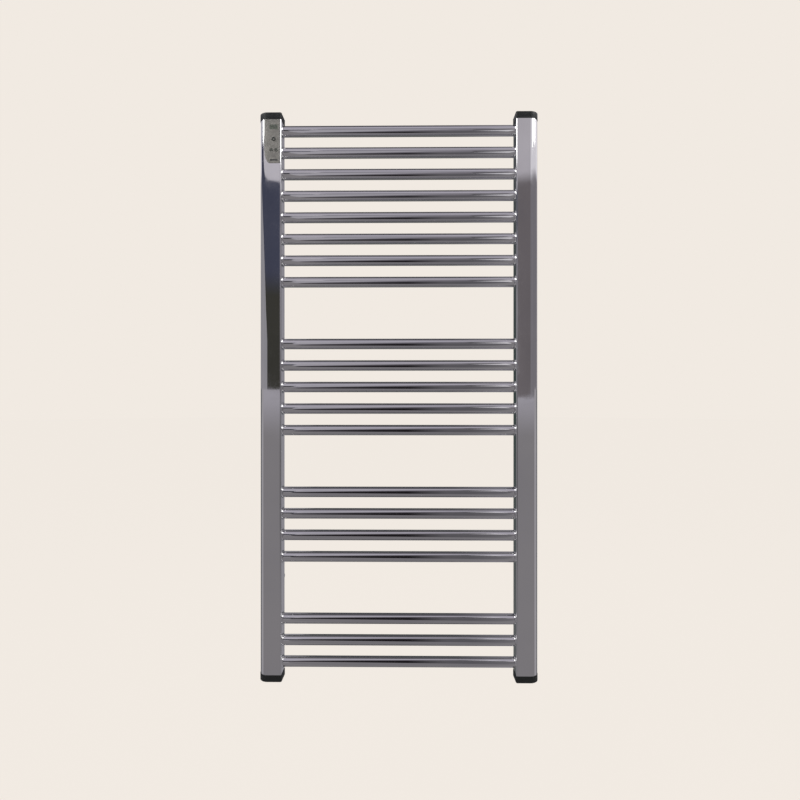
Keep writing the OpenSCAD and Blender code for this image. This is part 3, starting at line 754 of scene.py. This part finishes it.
sheet("sheet_light", EDGE_Z, SHEET_TOP, LIGHT)
sheet("sheet_dull", SHEET_FOOT, EDGE_Z, DULL)
wedge = [(TIP_X, -0.32, -0.08), (FORK_X, -0.64, 0.68)]
wedge_tones = [(TIP_X, DARK), (0.02, DARK), (0.13, GREY), (FORK_X, GREY)]
fork_tones = [(FORK_X, GREY), (REACH_X, GREY_END)]
beam_tones = [(FORK_X, LIGHT), (REACH_X, BEAM)]
flat_card("flag_main", wedge, FLAG_Y, wedge_tones, GREY_TOP)
flat_card("flag_fork_high", [(FORK_X, FORK_Z, 0.68), (REACH_X, 0.44, 0.76)], FLAG_Y, fork_tones, GREY_TOP)
flat_card("fork_beam", [(FORK_X, FORK_Z, FORK_Z), (REACH_X, 0.06, 0.44)], FLAG_Y, beam_tones, BEAM)
flat_card("flag_fork_low", [(FORK_X, -0.64, FORK_Z), (REACH_X, -0.68, 0.06)], FLAG_Y, fork_tones, GREY)


def softbox(name, place, look_at, size, level):
    """A bright panel high at one side, for the glints on the rung necks."""
    bm = bmesh.new()
    w, h = size[0] / 2, size[1] / 2
    bm.faces.new([bm.verts.new(p) for p in ((-w, -h, 0), (w, -h, 0), (w, h, 0), (-w, h, 0))])
    panel = bpy.data.objects.new(name, to_mesh(bm, name))
    scene.collection.objects.link(panel)
    aim = (Vector(look_at) - Vector(place)).to_track_quat("Z", "Y").to_matrix().to_4x4()
    panel.matrix_world = Matrix.Translation(place) @ aim
    material = bpy.data.materials.new(name)
    g = Graph(material)
    g.tree.nodes.remove(g.tree.nodes["Principled BSDF"])
    glow = g.node("Emission", {"Color": (1.0, 0.99, 0.98, 1), "Strength": level})
    g.tree.links.new(glow.outputs[0], g.tree.nodes["Material Output"].inputs["Surface"])
    panel.data.materials.append(material)
    only_seen_in_gloss(panel)


for hand, side in (("left", -1), ("right", 1)):
    softbox(f"softbox_{hand}", (side * 2.4, -1.3, 2.6), (0, 0, 0), (2.4, 1.9), 5.0)


def area_light(name, place, size, power):
    """A soft lamp aimed at the frame's origin, which doesn't show in the chrome."""
    data = bpy.data.lights.new(name, "AREA")
    data.shape = "RECTANGLE"
    data.size, data.size_y = size
    data.energy = power
    lamp = bpy.data.objects.new(name, data)
    scene.collection.objects.link(lamp)
    lamp.location = place
    lamp.rotation_mode = "QUATERNION"
    lamp.rotation_quaternion = (-Vector(place)).to_track_quat("-Z", "Y")
    lamp.visible_glossy = False
    lamp.visible_camera = False


area_light("key_light", (-1.6, -2.2, 2.4), (1.6, 1.6), 60)
area_light("fill_light", (2.2, -1.8, 0.8), (1.6, 1.6), 22)
area_light("back_light", (0.4, 2.2, 1.9), (1.8, 1.2), 30)

# Plain pale floor, well below the rack, with a faint shadow
FLOOR_Z = TUBE_BOTTOM - 0.42
bm = bmesh.new()
bmesh.ops.create_circle(bm, cap_ends=True, radius=30, segments=96)
floor = bpy.data.objects.new("floor", to_mesh(bm, "floor"))
floor.location = (0, 0, FLOOR_Z)
scene.collection.objects.link(floor)
floor_material = bpy.data.materials.new("pale_floor")
g = Graph(floor_material)
g.tree.nodes.remove(g.tree.nodes["Principled BSDF"])
GLOW_SHARE, MATT_SHARE = 0.972, 0.028
glow = g.node("Emission", {"Color": BACKDROP, "Strength": GLOW_SHARE})
matt = g.node("BsdfDiffuse", {"Color": tuple(c * MATT_SHARE for c in BACKDROP[:3]) + (1.0,)})
both = g.node("AddShader")
g.tree.links.new(glow.outputs[0], both.inputs[0])
g.tree.links.new(matt.outputs[0], both.inputs[1])
g.tree.links.new(both.outputs[0], g.tree.nodes["Material Output"].inputs["Surface"])
floor.data.materials.append(floor_material)
floor.visible_glossy = False

# World: the pale backdrop to the camera, a soft studio to the chrome, even light to everything matt
world = bpy.data.worlds.new("studio")
scene.world = world
w = Graph(world, "Generated")
for old in list(w.tree.nodes):
    if old.type == "BACKGROUND":
        w.tree.nodes.remove(old)
height = w.span(w.axis("Z"), -1.0, 1.0)


def at(sine):
    """Where the sine of a direction's elevation falls on a ramp."""
    return (sine + 1) / 2


ahead = w.ramp(
    height,
    [
        (at(-0.06), mirrored(119, 116, 119)),
        (at(0.0), mirrored(149, 146, 153)),
        (at(0.2), mirrored(149, 146, 153)),
        (at(0.45), mirrored(118, 115, 123)),
        (at(0.75), mirrored(161, 157, 167)),
    ],
)
behind = w.ramp(
    height,
    [
        (at(-1.0), mirrored(112, 110, 112)),
        (at(0.0), mirrored(54, 62, 60)),
        (at(1.0), mirrored(78, 76, 82)),
    ],
)
behind_right = w.mix(0.75, behind, mirrored(142, 139, 146))
behind = w.mix(w.span(w.axis("X"), 0.08, 0.2), behind, behind_right)
reflected = w.mix(w.span(w.axis("Y"), -0.32, -0.12), ahead, behind)
rays = w.node("LightPath")
matt_light = w.mix(rays.outputs["Is Glossy Ray"], (0.74, 0.73, 0.72, 1), reflected)
seen = w.mix(rays.outputs["Is Camera Ray"], matt_light, BACKDROP)
sky = w.node("Background", {"Color": seen, "Strength": 1.0})
w.tree.links.new(sky.outputs[0], w.tree.nodes["World Output"].inputs["Surface"])
